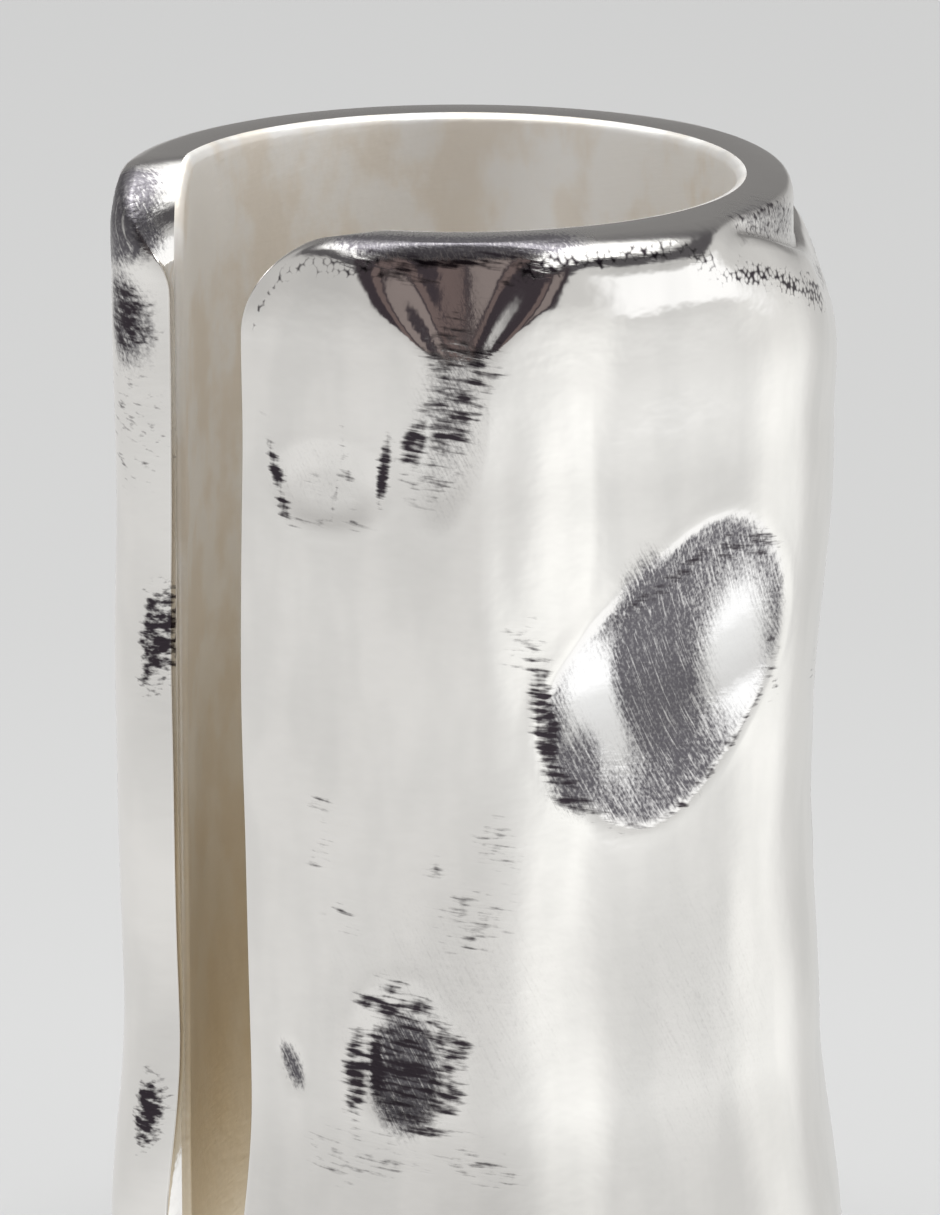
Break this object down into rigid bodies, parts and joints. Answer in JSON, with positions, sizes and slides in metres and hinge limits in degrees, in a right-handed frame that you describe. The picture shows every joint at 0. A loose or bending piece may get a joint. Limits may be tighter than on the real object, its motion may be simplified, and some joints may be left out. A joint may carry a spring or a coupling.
{
  "type": "open cuff ring",
  "caption": "Tall open cuff ring in hammered polished silver: a thick round band with a slit along its full height and flat ground rims.",
  "frame": {"origin": "on the bore's axis, in the plane of the lower ground rim", "axes": "+Z along the bore towards the upper rim, -Y out through the middle of the slit"},
  "size_m": [0.0247, 0.024, 0.041],
  "materials": {
    "silver": "polished sterling silver outside with hammer marks and fine file lines, satin inside the bore and on the ground rims"
  },
  "bodies": {
    "root": {"cuff_band": "silver"}
  },
  "joints": []
}
